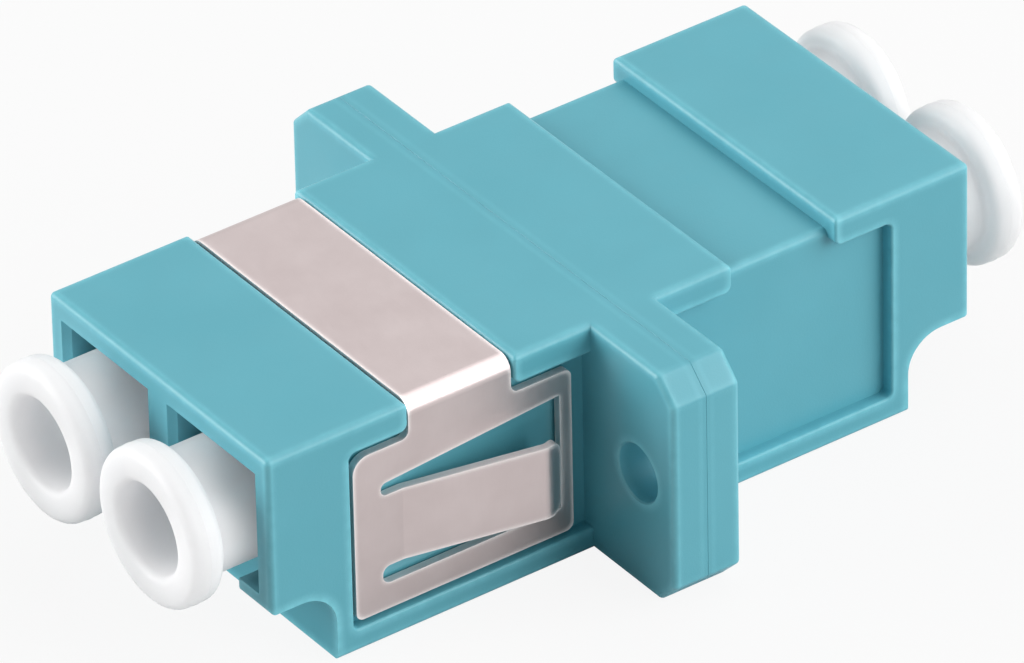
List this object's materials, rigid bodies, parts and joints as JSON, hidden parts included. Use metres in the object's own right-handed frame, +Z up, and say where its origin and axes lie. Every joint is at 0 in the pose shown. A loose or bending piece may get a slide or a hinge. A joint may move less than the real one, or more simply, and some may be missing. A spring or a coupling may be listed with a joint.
{
  "type": "duplex lc fibre adapter",
  "caption": "Flanged duplex LC fibre adapter: a moulded body with a stamped snap-in panel clip, split alignment sleeves and pull-out dust caps.",
  "frame": {"origin": "middle of the underside, on the weld plane between the two housing halves", "axes": "+X along the optical axis, from the end that carries the panel clip to the other end; +Y across the two ports; +Z up, away from the ports' latch side"},
  "size_m": [0.0348, 0.022, 0.0092],
  "materials": {
    "aqua_plastic": "satin injection-moulded aqua plastic with softly rounded edges",
    "stainless_sheet": "bright rolled stainless spring sheet with sheared edges",
    "zirconia": "ground zirconia ceramic",
    "white_plastic": "soft white polyethylene, slightly translucent"
  },
  "bodies": {
    "adapter": {"front_housing": "aqua_plastic", "rear_housing": "aqua_plastic", "panel_clip": "stainless_sheet", "left_sleeve": "zirconia", "right_sleeve": "zirconia"},
    "front_left_cap": {"front_left_cap": "white_plastic"},
    "front_right_cap": {"front_right_cap": "white_plastic"},
    "rear_left_cap": {"rear_left_cap": "white_plastic"},
    "rear_right_cap": {"rear_right_cap": "white_plastic"}
  },
  "joints": [
    {"name": "front_left_cap_pull", "type": "slide", "parent": "adapter", "child": "front_left_cap", "axis": [-1, 0, 0], "range_m": [0, 0.0135]},
    {"name": "front_right_cap_pull", "type": "slide", "parent": "adapter", "child": "front_right_cap", "axis": [-1, 0, 0], "range_m": [0, 0.0135]},
    {"name": "rear_left_cap_pull", "type": "slide", "parent": "adapter", "child": "rear_left_cap", "axis": [1, 0, 0], "range_m": [0, 0.0135]},
    {"name": "rear_right_cap_pull", "type": "slide", "parent": "adapter", "child": "rear_right_cap", "axis": [1, 0, 0], "range_m": [0, 0.0135]}
  ]
}
